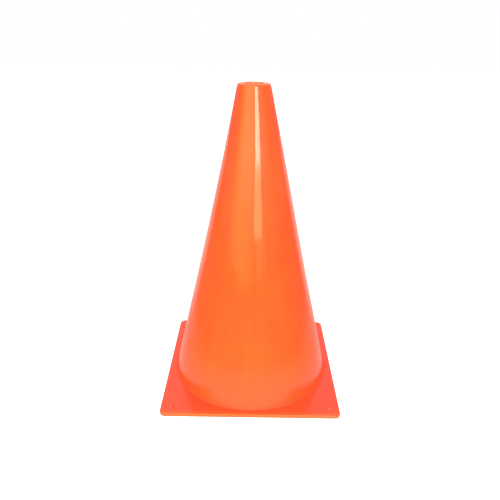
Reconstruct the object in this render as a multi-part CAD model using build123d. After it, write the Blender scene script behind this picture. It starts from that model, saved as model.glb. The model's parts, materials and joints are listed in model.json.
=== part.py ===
from build123d import *
import math
import os

# Marker cone: a hollow plastic cone that plugs into a square base plate with four grip feet.
# Millimetres, +Z up, origin on the floor under the middle of the plate.

# Cone body
cone_height = 305.0  # floor to the top of the lip
tip_radius = 15.3  # outside of the slope at the level of the lip's top
slope_sag = 0.9  # how far the slope hollows in from a straight line
wall = 2.0  # square to the slope
lip_thickness = 3.4  # lip that turns in around the mouth
lip_round = 2.0  # outer edge of the lip
mouth_radius = 9.25
mouth_round = 1.4  # upper edge of the mouth

# Flared foot of the cone body, which sits on the plate
foot_radius = 82.6
flare_width = 0.7  # beyond the line of the slope
flare_height = 1.4  # above the plate
foot_edge = 0.2  # upright edge at the end of the flare

# Spigot under the foot, with keys that stop the body turning in the plate
spigot_inset = 2.5  # spigot's outside, in from the foot's edge
spigot_depth = 2.6  # below the plate's top
key_count = 4
key_angle = 45.0  # first key, towards a corner of the plate
key_width = 8.0
key_reach = 1.6  # beyond the spigot

# Base plate
plate_height = 3.2  # floor to the plate's top
plate_margin = 6.4  # foot's edge to the middle of a side
plate_skin = 1.8  # thickness between the ribs
plate_corner = 6.0
plate_edge_round = 0.8  # upper outer edge
rim_width = 2.2  # downturned edge that stands on the floor
socket_wall = 1.6  # ring around the key slots
rib_width = 1.6
fit_clearance = 0.2  # between the spigot or keys and their socket

# Corner feet
foot_inset = 10.5  # foot's middle, in from both sides of the plate
head_radius = 2.6
head_height = 0.9
stem_radius = 1.6
pad_radius = 4.0
pad_thickness = 1.2
foot_clearance = 0.1  # around the stem and the pad
boss_wall = 1.4  # around the pad's recess

# Worked out from the sizes above
slope_radius = foot_radius - flare_width  # where the line of the slope meets the plate's top
taper = (slope_radius - tip_radius) / (cone_height - plate_height)
wall_level = wall * math.hypot(1, taper)  # wall measured level instead of square to the slope
spigot_radius = foot_radius - spigot_inset
spigot_inner = spigot_radius - wall
spigot_bottom = plate_height - spigot_depth
flare_top = plate_height + flare_height
plate_side = 2 * (foot_radius + plate_margin)
pocket_depth = plate_height - plate_skin
socket_radius = spigot_radius + fit_clearance
socket_outer = socket_radius + key_reach + socket_wall
boss_radius = pad_radius + foot_clearance + boss_wall
foot_place = plate_side / 2 - foot_inset


def slope(z):
    # Outside radius at a height, on the straight line from the foot to the tip
    return slope_radius - (z - plate_height) * taper


def slope_height(radius):
    # Height at which the inner wall has a radius, on its straight line
    return plate_height + (slope_radius - wall_level - radius) / taper


def round_corner(sketch, point, radius):
    # Rounds the corner of a section nearest to a point
    fillet(sketch.vertices().sort_by_distance(point)[0], radius)


def make_cone_body():
    lip_under = cone_height - lip_thickness
    tip_corner = (tip_radius, cone_height)
    mouth_corner = (mouth_radius, cone_height)
    flare_end = (foot_radius, plate_height + foot_edge)
    inner_foot = (spigot_inner, slope_height(spigot_inner))
    with BuildPart() as body:
        with BuildSketch(Plane.XZ) as section:
            with BuildLine():
                outside = SagittaArc(tip_corner, (slope(flare_top), flare_top), -slope_sag)
                TangentArc(outside @ 1, flare_end, tangent=outside % 1)
                Polyline(
                    flare_end,
                    (foot_radius, plate_height),
                    (spigot_radius, plate_height),
                    (spigot_radius, spigot_bottom),
                    (spigot_inner, spigot_bottom),
                    inner_foot,
                )
                inside = SagittaArc((slope(lip_under) - wall_level, lip_under), inner_foot, -slope_sag)
                Polyline(inside @ 0, (mouth_radius, lip_under), mouth_corner, tip_corner)
            make_face()
            round_corner(section, tip_corner, lip_round)
            round_corner(section, mouth_corner, mouth_round)
        revolve(axis=Axis.Z)
        # Keys run from inside the spigot's wall out to their reach, and up to the foot's underside
        with Locations((0, 0, spigot_bottom)):
            with PolarLocations(spigot_radius + key_reach, key_count, start_angle=key_angle):
                key_length = key_reach + wall / 2
                Box(key_length, key_width, spigot_depth, align=(Align.MAX, Align.CENTER, Align.MIN))
    return body.part


def make_base_plate():
    on_floor = (Align.CENTER, Align.CENTER, Align.MIN)
    foot_spots = GridLocations(2 * foot_place, 2 * foot_place, 2, 2).locations
    rib_height = pocket_depth + plate_skin / 2  # sunk half way into the skin
    rim_middle = plate_side / 2 - rim_width / 2
    with BuildPart() as plate:
        with BuildSketch():
            RectangleRounded(plate_side, plate_side, plate_corner)
        extrude(amount=plate_height)
        fillet(plate.edges().group_by(Axis.Z)[-1], plate_edge_round)
        # Hollow underside inside the rim
        with BuildSketch():
            pocket_side = plate_side - 2 * rim_width
            RectangleRounded(pocket_side, pocket_side, plate_corner - rim_width)
        extrude(amount=pocket_depth, mode=Mode.SUBTRACT)
        # Socket ring, corner bosses and their ribs
        Cylinder(socket_outer, plate_height, align=on_floor)
        for spot in foot_spots:
            x = spot.position.X
            y = spot.position.Y
            with Locations(spot):
                Cylinder(boss_radius, rib_height, align=on_floor)
            to_side = Vector(math.copysign(rim_middle, x), y)
            to_front_or_back = Vector(x, math.copysign(rim_middle, y))
            to_socket = Vector(x, y).normalized() * (socket_outer - socket_wall / 2)
            for rib_end in (to_side, to_front_or_back, to_socket):
                with BuildSketch():
                    with BuildLine():
                        Line((x, y), rib_end)
                    trace(line_width=rib_width)
                extrude(amount=rib_height)
        # Socket with its key slots, and the feet's recesses and stem holes
        Cylinder(socket_radius, plate_height, align=on_floor, mode=Mode.SUBTRACT)
        with PolarLocations(socket_radius + key_reach, key_count, start_angle=key_angle):
            slot_length = key_reach + wall
            slot_width = key_width + 2 * fit_clearance
            slot_align = (Align.MAX, Align.CENTER, Align.MIN)
            Box(slot_length, slot_width, plate_height, align=slot_align, mode=Mode.SUBTRACT)
        for spot in foot_spots:
            with Locations(spot):
                Cylinder(pad_radius + foot_clearance, pad_thickness, align=on_floor, mode=Mode.SUBTRACT)
                Cylinder(stem_radius + foot_clearance, plate_height, align=on_floor, mode=Mode.SUBTRACT)
    return plate.part


def make_corner_foot():
    # Pad flush with the floor, stem through the plate and a low domed head on top
    head_top = (0, plate_height + head_height)
    head_edge = (head_radius, plate_height)
    with BuildPart() as foot:
        with BuildSketch(Plane.XZ):
            with BuildLine():
                Polyline(
                    head_top,
                    (0, 0),
                    (pad_radius, 0),
                    (pad_radius, pad_thickness),
                    (stem_radius, pad_thickness),
                    (stem_radius, plate_height),
                    head_edge,
                )
                TangentArc(head_top, head_edge, tangent=(1, 0))
            make_face()
        revolve(axis=Axis.Z)
    return foot.part


pieces = {"cone_body": make_cone_body(), "base_plate": make_base_plate()}
for row, y in (("front", -foot_place), ("back", foot_place)):
    for side, x in (("left", -foot_place), ("right", foot_place)):
        pieces[f"corner_foot_{row}_{side}"] = Pos(x, y, 0) * make_corner_foot()

os.makedirs("parts", exist_ok=True)
for node, piece in pieces.items():
    export_step(piece, f"parts/{node}.step")
    print(node, f"{piece.volume:.0f} mm3")
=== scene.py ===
import json
import math

import bmesh
import bpy
from mathutils import Matrix, Vector, noise


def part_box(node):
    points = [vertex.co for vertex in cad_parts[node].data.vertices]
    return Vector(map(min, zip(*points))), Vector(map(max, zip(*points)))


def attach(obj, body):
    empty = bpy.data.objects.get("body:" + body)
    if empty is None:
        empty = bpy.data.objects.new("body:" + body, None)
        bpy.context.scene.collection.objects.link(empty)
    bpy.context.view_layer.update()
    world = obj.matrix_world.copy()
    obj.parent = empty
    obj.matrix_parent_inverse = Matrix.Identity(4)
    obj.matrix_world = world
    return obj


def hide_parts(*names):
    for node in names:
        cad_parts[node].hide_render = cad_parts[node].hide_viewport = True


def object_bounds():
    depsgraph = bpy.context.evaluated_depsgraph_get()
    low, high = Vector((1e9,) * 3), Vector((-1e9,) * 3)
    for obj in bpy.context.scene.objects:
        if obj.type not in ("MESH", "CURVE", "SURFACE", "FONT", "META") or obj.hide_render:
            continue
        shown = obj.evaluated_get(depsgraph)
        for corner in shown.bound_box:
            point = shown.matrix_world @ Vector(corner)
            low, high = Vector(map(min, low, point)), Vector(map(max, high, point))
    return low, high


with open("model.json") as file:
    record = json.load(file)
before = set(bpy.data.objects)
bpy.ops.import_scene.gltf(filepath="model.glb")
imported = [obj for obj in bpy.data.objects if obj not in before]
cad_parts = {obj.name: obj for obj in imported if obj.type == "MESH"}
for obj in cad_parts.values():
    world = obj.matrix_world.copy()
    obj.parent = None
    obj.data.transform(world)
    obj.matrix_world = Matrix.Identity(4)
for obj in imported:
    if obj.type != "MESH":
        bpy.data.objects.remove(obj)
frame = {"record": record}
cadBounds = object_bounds()

mm = 0.001
ringSteps = 180  # faces around the cone and its socket
mergeDistance = 1e-6
upAxis = (0, 0, 1)
plainWhite = (1, 1, 1, 1)

coneLow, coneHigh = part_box("cone_body")
plateLow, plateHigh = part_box("base_plate")
mounts = {mount["name"]: mount for mount in frame["record"]["mounts"]}


# Camera at the photograph's angle, in metres and radians
cameraView = {
    "place": (-0.00128, -0.50850, 0.35834),
    "pitch": 0.4054,  # looking down
    "yaw": -0.0019,
    "roll": -0.0137,
    "lens": 38.79,  # mm
    "sensor": 36.0,  # mm
    "clipStart": 0.01,
}


def addCamera():
    data = bpy.data.cameras.new("camera")
    data.sensor_fit = "HORIZONTAL"
    data.sensor_width = cameraView["sensor"]
    data.lens = cameraView["lens"]
    data.clip_start = cameraView["clipStart"]
    camera = bpy.data.objects.new("camera", data)
    bpy.context.collection.objects.link(camera)
    turn = Matrix.Rotation(-cameraView["yaw"], 4, "Z")
    tilt = Matrix.Rotation(math.pi / 2 - cameraView["pitch"], 4, "X")
    lean = Matrix.Rotation(-cameraView["roll"], 4, "Z")
    camera.matrix_world = Matrix.Translation(cameraView["place"]) @ turn @ tilt @ lean
    bpy.context.scene.camera = camera


# A socket that takes part in Python sums: each sum, product or difference adds a Math node
class Flow:
    def __init__(self, tree, socket=None):
        self.tree = tree
        self.socket = socket

    # Any other node: its type, its settings, then the values or links of its sockets
    def node(self, kind, settings=None, sockets=None, out=0):
        made = self.tree.nodes.new(kind)
        for name, value in (settings or {}).items():
            setattr(made, name, value)
        for key, value in (sockets or {}).items():
            if isinstance(value, Flow):
                self.tree.links.new(value.socket, made.inputs[key])
            else:
                made.inputs[key].default_value = value
        return Flow(self.tree, made.outputs[out] if len(made.outputs) else None)

    def sum(self, operation, first, second):
        return self.node("ShaderNodeMath", {"operation": operation}, {0: first, 1: second})

    def __add__(self, other):
        return self.sum("ADD", self, other)

    def __radd__(self, other):
        return self.sum("ADD", other, self)

    def __sub__(self, other):
        return self.sum("SUBTRACT", self, other)

    def __rsub__(self, other):
        return self.sum("SUBTRACT", other, self)

    def __mul__(self, other):
        return self.sum("MULTIPLY", self, other)

    def __rmul__(self, other):
        return self.sum("MULTIPLY", other, self)

    def ramp(self, low, high):
        # 0 to 1 as the value goes from low to high, with soft ends
        return self.node(
            "ShaderNodeMapRange",
            {"interpolation_type": "SMOOTHSTEP"},
            {"Value": self, "From Min": low, "From Max": high},
        )

    def mixColour(self, first, second):
        # Goes from the first colour to the second as the value goes from 0 to 1
        settings = {"data_type": "RGBA"}
        return self.node("ShaderNodeMix", settings, {0: self, 6: first, 7: second}, out=2)

    def along(self, axis):
        # One of a vector's three parts
        return self.node("ShaderNodeSeparateXYZ", sockets={0: self}, out=axis)

    def vector(self, operation, other=None, out="Vector"):
        # Vector maths on this vector and another, which some operations leave out
        sockets = {0: self} if other is None else {0: self, 1: other}
        return self.node("ShaderNodeVectorMath", {"operation": operation}, sockets, out)

    def measure(self, operation, other=None):
        # Vector maths that ends in a number
        return self.vector(operation, other, out="Value")


def startFlow(owner):
    # Empties the nodes of a world or a material
    owner.use_nodes = True
    owner.node_tree.nodes.clear()
    return Flow(owner.node_tree)


def unitVector(azimuth, elevation):
    # Degrees: azimuth to the right of the viewer's side, elevation above the floor
    turn = math.radians(azimuth)
    rise = math.radians(elevation)
    return Vector((math.sin(turn) * math.cos(rise), -math.cos(turn) * math.cos(rise), math.sin(rise)))


# Studio around the cone: bright in front and high behind, dim at the sides, a fill and a ceiling
studio = {
    "front": 1.10,
    "sides": 0.30,
    "back": 0.85,
    "frontEdge": (-0.35, -0.85),  # along Y, from the sides to the front
    "frontRise": (0.0, 0.20),  # along Z, from dim to bright in front
    "backEdge": (0.35, 0.80),  # along Y, from the sides to the back
    "backRise": (0.0, 0.15),  # along Z, from dim to bright behind
    "fill": 0.15,  # added on the right
    "fillEdge": (0.20, 0.90),  # along X
    "ceiling": 1.0,  # added above the ceiling's edge
    "ceilingEdge": (0.65, 0.92),  # along Z
}

# Coloured glows: a warm one in front on the left, and bounce from the sides
# Place is azimuth and elevation, reach is degrees from there, outer edge to full strength
glows = {
    "warmGlow": {"colour": (1.9, 1.9, 0.43), "place": (-31, 29), "reach": (50, 13)},
    "rightBounce": {"colour": (0.30, 0.02, 0.015), "place": (105, 5), "reach": (75, 20)},
    "leftBounce": {"colour": (0.14, 0.01, 0.18), "place": (-105, 5), "reach": (75, 20)},
}

# Softboxes with crisp edges, which the cone mirrors as its streak
softboxes = {
    "streakSoftbox": {
        "azimuth": 15.0, "elevation": 18.2,
        "size": (0.52, 0.535), "radiance": 12.0, "colour": (1.0, 0.97, 0.72),
    },
    "streakTail": {
        "azimuth": 13.6, "elevation": 3.7,
        "size": (0.57, 0.255), "radiance": 4.3, "colour": (1.0, 0.97, 0.43),
    },
    "streakEnd": {
        "azimuth": 20.0, "elevation": -3.3,
        "size": (0.66, 0.13), "radiance": 0.8, "colour": (1.0, 0.97, 0.5),
    },
}
softboxAim = Vector((0, 0, 0.26))
softboxDistance = 1.55  # from that point


def addStudio():
    world = bpy.data.worlds.new("studio")
    bpy.context.scene.world = world
    flow = startFlow(world)
    look = flow.node("ShaderNodeTexCoord")
    alongX = look.along("X")
    alongY = look.along("Y")
    alongZ = look.along("Z")
    sides = studio["sides"]
    behind = alongY.ramp(*studio["backEdge"])
    plain = sides + behind * alongZ.ramp(*studio["backRise"]) * (studio["back"] - sides)
    before = alongY.ramp(*studio["frontEdge"])
    plain = plain + before * alongZ.ramp(*studio["frontRise"]) * (studio["front"] - sides)
    plain = plain + alongZ.ramp(*studio["ceilingEdge"]) * (1 - behind) * studio["ceiling"]
    plain = plain + alongX.ramp(*studio["fillEdge"]) * studio["fill"]
    lit = flow.node("ShaderNodeBackground", sockets={"Color": plainWhite, "Strength": plain})
    for glow in glows.values():
        near = look.measure("DOT_PRODUCT", unitVector(*glow["place"]))
        edges = [math.cos(math.radians(reach)) for reach in glow["reach"]]
        shine = flow.node("ShaderNodeBackground", sockets={
            "Color": (*glow["colour"], 1), "Strength": near.ramp(*edges)})
        lit = flow.node("ShaderNodeAddShader", sockets={0: lit, 1: shine})
    # What the camera sees past the floor is plain white
    white = flow.node("ShaderNodeBackground", sockets={"Color": plainWhite, "Strength": 1.0})
    direct = flow.node("ShaderNodeLightPath")
    shown = flow.node("ShaderNodeMixShader", sockets={0: direct, 1: lit, 2: white})
    flow.node("ShaderNodeOutputWorld", sockets={"Surface": shown})
    for name, box in softboxes.items():
        data = bpy.data.lights.new(name, "AREA")
        data.shape = "RECTANGLE"
        data.size, data.size_y = box["size"]
        data.energy = box["radiance"] * math.pi * data.size * data.size_y
        data.color = box["colour"]
        light = bpy.data.objects.new(name, data)
        bpy.context.collection.objects.link(light)
        away = unitVector(box["azimuth"], box["elevation"])
        light.location = softboxAim + away * softboxDistance
        light.rotation_euler = away.to_track_quat("Z", "Y").to_euler()
    print("studio ready:", len(softboxes), "softboxes")


# Pale floor, lit in front of the plate and behind it, and white to the camera
floorPlane = {
    "reach": 4.0,
    "drop": 0.1 * mm,  # clear of the undersides
    "shade": (0.2, 0.2, 0.2, 1),
    "brightness": 0.05,  # everywhere
    "pools": (  # added brightness, its middle, and its reach from outer edge to full strength
        (0.60, (0, -0.15, 0), (0.24, 0.10)),
        (0.27, (0, 0.12, 0), (0.36, 0.20)),
    ),
    "sweep": 0.64,  # added behind the cone
    "sweepEdge": (0.46, 0.68),  # along Y, from the sides to the back
    "sweepReach": (0.10, 0.50),  # from the axis, none to full strength
    "whiteness": 0.85,  # added for the camera
    "gloss": 0.04,
    "glossRoughness": 0.12,
}


def addFloor():
    bm = bmesh.new()
    bmesh.ops.create_grid(bm, x_segments=2, y_segments=2, size=floorPlane["reach"])
    bmesh.ops.translate(bm, verts=bm.verts, vec=(0, 0, cadBounds[0].z - floorPlane["drop"]))
    floor = meshObject("floor", bm)
    material = bpy.data.materials.new("pale floor")
    flow = startFlow(material)
    place = flow.node("ShaderNodeTexCoord", out="Object")
    direct = flow.node("ShaderNodeLightPath")
    strength = floorPlane["brightness"] + direct * floorPlane["whiteness"]
    for added, middle, reach in floorPlane["pools"]:
        strength = strength + place.measure("DISTANCE", middle).ramp(*reach) * added
    alongY = place.vector("NORMALIZE").along("Y")
    radius = place.measure("LENGTH")
    behind = alongY.ramp(*floorPlane["sweepEdge"]) * radius.ramp(*floorPlane["sweepReach"])
    strength = strength + behind * floorPlane["sweep"]
    bright = flow.node("ShaderNodeEmission", sockets={"Strength": strength})
    matt = flow.node("ShaderNodeBsdfDiffuse", sockets={"Color": floorPlane["shade"]})
    gloss = flow.node("ShaderNodeBsdfAnisotropic", sockets={"Roughness": floorPlane["glossRoughness"]})
    coated = flow.node("ShaderNodeMixShader", sockets={0: floorPlane["gloss"], 1: matt, 2: gloss})
    surface = flow.node("ShaderNodeAddShader", sockets={0: coated, 1: bright})
    flow.node("ShaderNodeOutputMaterial", sockets={"Surface": surface})
    floor.data.materials.append(material)


# Moulded orange plastics: pigment that clouds and flows, a roughness that wanders and a faint skin texture
grain = {
    "cloudDetail": 3.0,
    "cloudRoughness": 0.55,
    "cloudEdge": (0.35, 0.7),  # noise at which the pale pigment starts and is full
    "cloudShare": 0.6,  # share of the pale pigment that lies in clouds, the rest in flow lines
    "flowDetail": 4.0,
    "flowRoughness": 0.6,
    "flowEdge": (0.4, 0.7),
    "skinDetail": 2.0,
    "dullShare": 0.6,  # share of the roughness that follows the clouds, the rest follows the skin
    "ior": 1.5,
}
coneFinish = {
    "orange": (0.95, 0.087, 0.017, 1),
    "paleOrange": (0.98, 0.107, 0.019, 1),
    "levelShadeAndHighlight": (0.94, 0.086, 0.020, 1),  # painted shade, darker towards the plate
    "levelReach": (40 * mm, 5 * mm),  # above the plate's top, outer to full strength
    "levelRoughness": 0.12,  # added there
    "flareShadeOrange": (0.89, 0.060, 0.016, 1),  # painted shade along the foot's edge, which is also duller
    "flareReach": (2.4 * mm, 1.0 * mm),  # above the plate's top, outer to full strength
    "flareRoughness": 0.40,  # added there
    "paintedMouthLight": (0.98, 0.175, 0.075, 1),  # painted light, paler around and inside the mouth
    "mouthReach": (12 * mm, 10 * mm),  # from the axis, outer to full strength
    "cloudScale": 26.0,  # per metre
    "flowTurns": 7.0,  # streaks around the cone
    "flowScale": 5.0,  # along the slope, per metre
    "roughness": (0.05, 0.10),
    "skinScale": 900.0,  # per metre
    "skinDepth": 0.004 * mm,
}
plateFinish = {
    "orange": (0.95, 0.063, 0.023, 1),
    "paleOrange": (0.98, 0.075, 0.025, 1),
    "edgeOrange": (0.98, 0.106, 0.020, 1),  # paler along the outer edge
    "edgeReach": (0.9 * mm, 0.1 * mm),  # in from the sides, outer to full strength
    "sideOrange": (0.95, 0.058, 0.023, 1),  # redder towards the right
    "sideLine": (1, -0.25, 0),  # direction in which it grows
    "sideReach": (60 * mm, 90 * mm),  # along that line, from none to full strength
    "paintedFrontLight": (0.96, 0.103, 0.024, 1),  # painted light, paler along the front
    "frontReach": (7 * mm, 0.5 * mm),  # in from the front, outer to full strength
    "seamShadeOrange": (0.85, 0.056, 0.014, 1),  # painted shade around the feet's heads
    "seamReach": (3.7 * mm, 2.7 * mm),  # from a foot's middle, outer to full strength
    "cloudScale": 34.0,
    "flowTurns": 5.0,
    "flowScale": 20.0,
    "roughness": (0.13, 0.20),
    "skinScale": 1400.0,
    "skinDepth": 0.01 * mm,
}
footFinish = {
    "orange": (0.94, 0.058, 0.019, 1),
    "paleOrange": (0.97, 0.070, 0.021, 1),
    "cloudScale": 160.0,
    "flowTurns": 3.0,
    "flowScale": 40.0,
    "levelShadeAndHighlight": (0.97, 0.090, 0.044, 1),  # painted highlight, paler on the crown of the head
    "levelReach": (0.35 * mm, 0.75 * mm),  # above the plate's top, none to full strength
    "roughness": (0.14, 0.24),
    "skinScale": 2200.0,
    "skinDepth": 0.012 * mm,
}


def mouldedPlastic(name, finish):
    material = bpy.data.materials.new(name)
    flow = startFlow(material)
    place = flow.node("ShaderNodeTexCoord", out="Object")
    height = place.along("Z")
    clouds = flow.node("ShaderNodeTexNoise", sockets={
        "Vector": place, "Scale": finish["cloudScale"],
        "Detail": grain["cloudDetail"], "Roughness": grain["cloudRoughness"],
    })
    # Flow lines run up the slope, so their pattern turns with the direction from the axis
    flat = place.vector("MULTIPLY", (1, 1, 0))
    outward = flat.vector("NORMALIZE")
    around = outward.vector("MULTIPLY", (finish["flowTurns"], finish["flowTurns"], 0))
    upward = place.vector("MULTIPLY", (0, 0, finish["flowScale"]))
    streaks = flow.node("ShaderNodeTexNoise", sockets={
        "Vector": around.vector("ADD", upward), "Scale": 1.0,
        "Detail": grain["flowDetail"], "Roughness": grain["flowRoughness"],
    })
    skin = flow.node("ShaderNodeTexNoise", sockets={
        "Vector": place, "Scale": finish["skinScale"], "Detail": grain["skinDetail"]})
    cloudy = clouds.ramp(*grain["cloudEdge"])
    streaky = streaks.ramp(*grain["flowEdge"])
    pale = cloudy * grain["cloudShare"] + streaky * (1 - grain["cloudShare"])
    colour = pale.mixColour(finish["orange"], finish["paleOrange"])
    if "sideOrange" in finish:
        sideways = place.measure("DOT_PRODUCT", finish["sideLine"])
        colour = sideways.ramp(*finish["sideReach"]).mixColour(colour, finish["sideOrange"])
    # Painted light: paler along the front of the plate
    if "paintedFrontLight" in finish:
        outer, full = [plateLow.y + reach for reach in finish["frontReach"]]
        colour = place.along("Y").ramp(outer, full).mixColour(colour, finish["paintedFrontLight"])
    if "edgeOrange" in finish:
        inQuarter = place.vector("ABSOLUTE")
        edge = flow.sum("MAXIMUM", inQuarter.along("X"), inQuarter.along("Y"))
        outer, full = [plateHigh.x - reach for reach in finish["edgeReach"]]
        colour = edge.ramp(outer, full).mixColour(colour, finish["edgeOrange"])
    # Painted shade on the plate around each foot's head
    if "seamShadeOrange" in finish:
        away = flat.vector("ABSOLUTE").measure("DISTANCE", (footPlace, footPlace, 0))
        colour = away.ramp(*finish["seamReach"]).mixColour(colour, finish["seamShadeOrange"])
    # Painted light: paler around and inside the mouth
    if "paintedMouthLight" in finish:
        radius = flat.measure("LENGTH")
        colour = radius.ramp(*finish["mouthReach"]).mixColour(colour, finish["paintedMouthLight"])
    smooth, dull = finish["roughness"]
    wander = grain["dullShare"] * clouds + (1 - grain["dullShare"]) * skin
    roughness = smooth + (dull - smooth) * wander
    # Painted light by height above the plate: shade low on the cone, a highlight on the crowns of the feet
    if "levelShadeAndHighlight" in finish:
        outer, full = [plateHigh.z + reach for reach in finish["levelReach"]]
        level = height.ramp(outer, full)
        colour = level.mixColour(colour, finish["levelShadeAndHighlight"])
        if "levelRoughness" in finish:
            roughness = roughness + level * finish["levelRoughness"]
    # Painted shade along the foot's edge, which also turns rougher there
    if "flareShadeOrange" in finish:
        outer, full = [plateHigh.z + reach for reach in finish["flareReach"]]
        flareShadeAndDull = height.ramp(outer, full)
        colour = flareShadeAndDull.mixColour(colour, finish["flareShadeOrange"])
        roughness = roughness + flareShadeAndDull * finish["flareRoughness"]
    normal = flow.node("ShaderNodeBump", sockets={
        "Height": skin, "Distance": finish["skinDepth"], "Strength": 1.0})
    shader = flow.node("ShaderNodeBsdfPrincipled", sockets={
        "Base Color": colour,
        "Roughness": roughness,
        "Normal": normal,
        "IOR": grain["ior"],
    })
    flow.node("ShaderNodeOutputMaterial", sockets={"Surface": shader})
    return material


def addPiece(name, bm, material, body, sharpAngle):
    # A finished piece: closed, facing outwards, smooth but for its sharp edges, riding on its body
    bmesh.ops.remove_doubles(bm, verts=bm.verts, dist=mergeDistance)
    bmesh.ops.recalc_face_normals(bm, faces=bm.faces)
    for face in bm.faces:
        face.smooth = True
    for edge in bm.edges:
        edge.smooth = edge.is_manifold and edge.calc_face_angle() < math.radians(sharpAngle)
    piece = meshObject(name, bm)
    piece.data.materials.append(material)
    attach(piece, body)
    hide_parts(name)
    print(name, "modelled:", len(piece.data.polygons), "faces")


def facing(degrees):
    # Level direction from the axis
    turn = math.radians(degrees)
    return Vector((math.cos(turn), math.sin(turn)))


def roundCorner(bm, corner, radius, segments):
    # Rounds a corner of a flat outline
    first, second = [edge.other_vert(corner).co - corner.co for edge in corner.link_edges]
    offset = radius / math.tan(first.angle(second) / 2)
    bmesh.ops.bevel(
        bm, geom=[corner], offset=offset, offset_type="OFFSET", affect="VERTICES",
        segments=segments, profile=0.5, material=-1,
    )


def block(start, end, width, low, high):
    # Straight block between two points on the floor
    run = Vector(end) - Vector(start)
    middle = (Vector(start) + Vector(end)) / 2
    place = Matrix.Translation((middle.x, middle.y, (low + high) / 2))
    turn = Matrix.Rotation(math.atan2(run.y, run.x), 4, "Z")
    stretch = Matrix.Diagonal((run.length, width, high - low, 1))
    bm = bmesh.new()
    bmesh.ops.create_cube(bm, size=1, matrix=place @ turn @ stretch)
    return bm


def disc(spot, radius, low, high, segments):
    # Upright cylinder over a point on the floor
    bm = bmesh.new()
    bmesh.ops.create_cone(
        bm, cap_ends=True, segments=segments, radius1=radius, radius2=radius,
        depth=high - low, matrix=Matrix.Translation((*spot, (low + high) / 2)),
    )
    return bm


def roundedSlab(halfSide, corner, low, high):
    # Square slab with rounded corners
    bm = bmesh.new()
    made = bmesh.ops.create_grid(bm, x_segments=1, y_segments=1, size=halfSide)
    bmesh.ops.translate(bm, verts=made["verts"], vec=(0, 0, low))
    bmesh.ops.bevel(
        bm, geom=made["verts"], offset=corner, offset_type="OFFSET", affect="VERTICES",
        segments=plateShape["cornerFaces"], profile=0.5, material=-1,
    )
    drawn = bmesh.ops.extrude_face_region(bm, geom=bm.faces[:])
    lifted = [item for item in drawn["geom"] if isinstance(item, bmesh.types.BMVert)]
    bmesh.ops.translate(bm, verts=lifted, vec=(0, 0, high - low))
    bmesh.ops.recalc_face_normals(bm, faces=bm.faces)
    return bm


def meshObject(name, bm):
    # An object made of a bmesh, which it uses up
    mesh = bpy.data.meshes.new(name)
    bm.to_mesh(mesh)
    bm.free()
    made = bpy.data.objects.new(name, mesh)
    bpy.context.collection.objects.link(made)
    return made


def combine(bm, tools):
    # Adds or cuts other bmeshes in turn, and gives the finished bmesh back
    made = meshObject("combining", bm)
    spent = [made]
    for operation, tool in tools:
        spent.append(meshObject("tool", tool))
        modifier = made.modifiers.new("combine", "BOOLEAN")
        modifier.operation = operation
        modifier.solver = "MANIFOLD"
        modifier.object = spent[-1]
    result = bmesh.new()
    result.from_object(made, bpy.context.evaluated_depsgraph_get())
    for item in spent:
        mesh = item.data
        bpy.data.objects.remove(item)
        bpy.data.meshes.remove(mesh)
    return result


# Cone body
coneShape = {
    "flareWidth": 0.7 * mm,  # foot beyond the line of the slope
    "flareHeight": 1.4 * mm,
    "flareSteps": 6,
    "footEdge": 0.2 * mm,  # upright edge on the plate
    "roundFaces": 6,  # across each round of the lip
    "tipRadius": 15.3 * mm,
    "lipRound": 2.0 * mm,
    "lipThickness": 3.4 * mm,
    "mouthRound": 1.4 * mm,
    "wall": 2.0 * mm,
    "spigotInset": 2.5 * mm,  # in from the foot's edge
    "keyReach": 1.6 * mm,
    "keyWidth": 8.0 * mm,
    "keyAngles": (45, 135, 225, 315),
    "slopeRows": 100,
    "sag": 0.9 * mm,  # the slope hollows in from a straight line
    "bow": 0.25 * mm,  # towards +X
    "bowPlace": (196 * mm, 110 * mm),  # height of its middle, and how far it reaches up and down
    "lean": 0.6 * mm,  # tip towards -X
    "leanStart": 245 * mm,
    "leanCurve": 1.5,  # power by which it grows
    "ripple": 0.06 * mm,
    "rippleScale": 80.0,  # per metre
    "rippleFade": 8,  # fades over an eighth of the slope at either end
    "sharpAngle": 40,  # degrees
}
spigotRadius = coneHigh.x - coneShape["spigotInset"]


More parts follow.
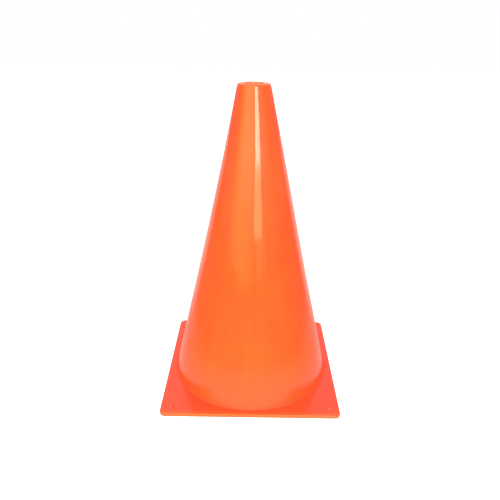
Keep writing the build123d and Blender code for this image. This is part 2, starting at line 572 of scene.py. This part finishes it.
def makeConeBody(material):
    shape = coneShape
    top = coneHigh.z
    seat = plateHigh.z  # the foot sits on the plate's top
    bottom = coneLow.z
    footRadius = coneHigh.x
    slopeRadius = footRadius - shape["flareWidth"]
    taper = (slopeRadius - shape["tipRadius"]) / (top - seat)
    wallLevel = shape["wall"] * math.hypot(1, taper)
    spigotInner = spigotRadius - shape["wall"]
    keyRadius = spigotRadius + shape["keyReach"]
    mouth = mounts["pole_mouth"]["dims"]["r_mm"] * mm
    flareTop = seat + shape["flareHeight"]
    lipUnder = top - shape["lipThickness"]

    def slope(height):
        return slopeRadius - (height - seat) * taper

    # The flare is an arc that leaves the slope smoothly and ends at the foot's edge
    bm = bmesh.new()
    flareStart = Vector((slope(flareTop), 0, flareTop))
    flareEnd = Vector((footRadius, 0, seat + shape["footEdge"]))
    chord = flareEnd - flareStart
    outward = Vector((1, 0, taper)).normalized()
    flareRadius = chord.length_squared / (2 * chord.dot(outward))
    bmesh.ops.spin(
        bm, geom=[bm.verts.new(flareStart)], cent=flareStart + outward * flareRadius, axis=(0, -1, 0),
        angle=2 * math.asin(chord.length / (2 * flareRadius)), steps=shape["flareSteps"],
    )
    flare = bm.verts[:]
    innerFoot = seat + (slopeRadius - wallLevel - spigotInner) / taper
    corners = [
        (shape["tipRadius"], top, shape["lipRound"]),
        (mouth, top, shape["mouthRound"]),
        (mouth, lipUnder, 0),
        (slope(lipUnder) - wallLevel, lipUnder, 0),
        (spigotInner, innerFoot, 0),
        (spigotInner, bottom, 0),
        (spigotRadius, bottom, 0),
        (spigotRadius, seat, 0),
        (footRadius, seat, 0),
    ]
    points = [bm.verts.new((radius, 0, height)) for radius, height, _ in corners]
    bm.faces.new(points + flare[::-1])
    for point, (_, _, rounding) in zip(points, corners):
        if rounding:
            roundCorner(bm, point, rounding, shape["roundFaces"])
    bmesh.ops.delete(bm, geom=bm.faces, context="FACES_ONLY")
    halfHeight = (top - seat) / 2
    slopes = [edge for edge in bm.edges if edge.calc_length() > halfHeight]
    bmesh.ops.subdivide_edges(bm, edges=slopes, cuts=shape["slopeRows"] - 1)
    bmesh.ops.spin(
        bm, geom=bm.verts[:] + bm.edges[:], cent=(0, 0, 0), axis=upAxis, angle=2 * math.pi,
        steps=ringSteps, use_merge=True,
    )
    bmesh.ops.remove_doubles(bm, verts=bm.verts, dist=mergeDistance)

    # Keys beside the spigot, sunk a little into its wall and the foot
    keys = []
    for degrees in shape["keyAngles"]:
        start = facing(degrees) * (spigotRadius - shape["wall"] / 2)
        end = facing(degrees) * keyRadius
        keys.append(block(start, end, shape["keyWidth"], bottom, seat + shape["footEdge"]))
    bmesh.ops.recalc_face_normals(bm, faces=bm.faces)
    bm = combine(bm, [("UNION", key) for key in keys])

    # The slope's sag, and a faint bow, lean and ripple, because soft plastic is never quite true
    def bump(height, place):
        middle, reach = place
        return (1 + math.cos(math.pi * min(1, abs(height - middle) / reach))) / 2

    fade = shape["rippleFade"]
    for vert in bm.verts:
        height = vert.co.z
        rise = min(1, (height - flareTop) / (lipUnder - flareTop))
        if rise > 0:
            outward = Vector((vert.co.x, vert.co.y, 0)).normalized()
            wave = noise.noise(vert.co * shape["rippleScale"]) * min(1, fade * rise, fade - fade * rise)
            # 4 * rise * (1 - rise) is a parabola that reaches 1 at mid height
            vert.co += outward * (shape["ripple"] * wave - shape["sag"] * 4 * rise * (1 - rise))
            above = max(0, height - shape["leanStart"]) / (top - shape["leanStart"])
            lean = shape["lean"] * above ** shape["leanCurve"]
            vert.co.x += shape["bow"] * bump(height, shape["bowPlace"]) - lean
    addPiece("cone_body", bm, material, "cone", shape["sharpAngle"])


# Base plate
plateShape = {
    "corner": 6.0 * mm,
    "cornerFaces": 10,
    "edgeRound": 0.8 * mm,
    "edgeFaces": 5,  # across that round
    "edgeInset": 0.3 * mm,  # keeps the flat top flat beside the round
    "skin": 1.8 * mm,
    "rimWidth": 2.2 * mm,
    "socketWall": 1.6 * mm,
    "ribWidth": 1.6 * mm,
    "fitClearance": 0.2 * mm,
    "bossWall": 1.4 * mm,
    "sharpAngle": 35,  # degrees
}

# Corner feet
footShape = {
    "inset": 10.5 * mm,  # from both sides of the plate
    "headRadius": 2.6 * mm,
    "headHeight": 0.9 * mm,
    "stemRadius": 1.6 * mm,
    "padRadius": 4.0 * mm,
    "padThickness": 1.2 * mm,
    "clearance": 0.1 * mm,
    "steps": 48,  # faces around it
    "domeSteps": 8,  # from the crown to the head's edge
    "sharpAngle": 40,  # degrees
}
footPlace = plateHigh.x - footShape["inset"]
footSpots = {
    "corner_foot_front_left": (-footPlace, -footPlace),
    "corner_foot_front_right": (footPlace, -footPlace),
    "corner_foot_back_left": (-footPlace, footPlace),
    "corner_foot_back_right": (footPlace, footPlace),
}


def makeBasePlate(material):
    shape = plateShape
    half = plateHigh.x
    top = plateHigh.z
    floor = plateLow.z
    ceiling = top - shape["skin"]
    rim = shape["rimWidth"]
    socket = spigotRadius + shape["fitClearance"]
    slotReach = socket + coneShape["keyReach"]
    socketOuter = slotReach + shape["socketWall"]
    past = mm  # cuts run this far past a face
    bm = roundedSlab(half, shape["corner"], floor, top)
    upper = [edge for edge in bm.edges if min(vert.co.z for vert in edge.verts) > ceiling]
    bmesh.ops.bevel(
        bm, geom=upper, offset=shape["edgeRound"], offset_type="OFFSET", affect="EDGES",
        segments=shape["edgeFaces"], profile=0.5, material=-1,
    )
    flatTop = max(bm.faces, key=lambda face: face.calc_center_median().z)
    bmesh.ops.inset_region(bm, faces=[flatTop], thickness=shape["edgeInset"], use_even_offset=True)
    bm = combine(bm, [("DIFFERENCE", roundedSlab(half - rim, shape["corner"] - rim, floor - past, ceiling))])

    # Socket ring, bosses over the feet, ribs from each to the rim and the socket, then every hole and slot
    ribTop = ceiling + shape["skin"] / 2
    recess = footShape["padRadius"] + footShape["clearance"]
    hole = footShape["stemRadius"] + footShape["clearance"]
    rimMiddle = half - rim / 2
    middle = (0, 0)
    steps = footShape["steps"]
    added = [disc(middle, socketOuter, floor, ribTop, ringSteps)]
    cuts = [disc(middle, socket, floor - past, top + past, ringSteps)]
    for spot in footSpots.values():
        x, y = spot
        added.append(disc(spot, recess + shape["bossWall"], floor, ribTop, steps))
        toSocket = Vector(spot).normalized() * (socketOuter - shape["socketWall"] / 2)
        for end in ((math.copysign(rimMiddle, x), y), (x, math.copysign(rimMiddle, y)), toSocket):
            added.append(block(spot, end, shape["ribWidth"], floor, ribTop))
        cuts.append(disc(spot, recess, floor - past, footShape["padThickness"], steps))
        cuts.append(disc(spot, hole, floor, top + past, steps))
    slotWidth = coneShape["keyWidth"] + 2 * shape["fitClearance"]
    for degrees in coneShape["keyAngles"]:
        start = facing(degrees) * (socket - coneShape["wall"])
        cuts.append(block(start, facing(degrees) * slotReach, slotWidth, floor - past, top + past))
    tools = [("UNION", tool) for tool in added] + [("DIFFERENCE", tool) for tool in cuts]
    addPiece("base_plate", combine(bm, tools), material, "base", shape["sharpAngle"])


def makeCornerFoot(name, spot, material):
    # Pad on the floor, stem through the plate and a low domed head
    shape = footShape
    seat = plateHigh.z
    crown = seat + shape["headHeight"]
    domeRadius = (shape["headRadius"] ** 2 + shape["headHeight"] ** 2) / (2 * shape["headHeight"])
    bm = bmesh.new()
    arc = bmesh.ops.spin(
        bm, geom=[bm.verts.new((0, 0, crown))], cent=(0, 0, crown - domeRadius), axis=(0, 1, 0),
        angle=math.asin(shape["headRadius"] / domeRadius), steps=shape["domeSteps"],
    )
    last = next(item for item in arc["geom_last"] if isinstance(item, bmesh.types.BMVert))
    corners = [
        (shape["stemRadius"], seat),
        (shape["stemRadius"], shape["padThickness"]),
        (shape["padRadius"], shape["padThickness"]),
        (shape["padRadius"], 0),
        (0, 0),
    ]
    for radius, height in corners:
        point = bm.verts.new((radius, 0, height))
        bm.edges.new((last, point))
        last = point
    bmesh.ops.spin(
        bm, geom=bm.verts[:] + bm.edges[:], cent=(0, 0, 0), axis=upAxis, angle=2 * math.pi,
        steps=shape["steps"], use_merge=True,
    )
    bmesh.ops.translate(bm, verts=bm.verts, vec=(*spot, 0))
    addPiece(name, bm, material, "base", shape["sharpAngle"])


addCamera()
addStudio()
addFloor()
makeConeBody(mouldedPlastic("cone plastic", coneFinish))
makeBasePlate(mouldedPlastic("plate plastic", plateFinish))
footRubber = mouldedPlastic("foot rubber", footFinish)
for node, spot in footSpots.items():
    makeCornerFoot(node, spot, footRubber)
bpy.context.scene.view_settings.view_transform = "Standard"
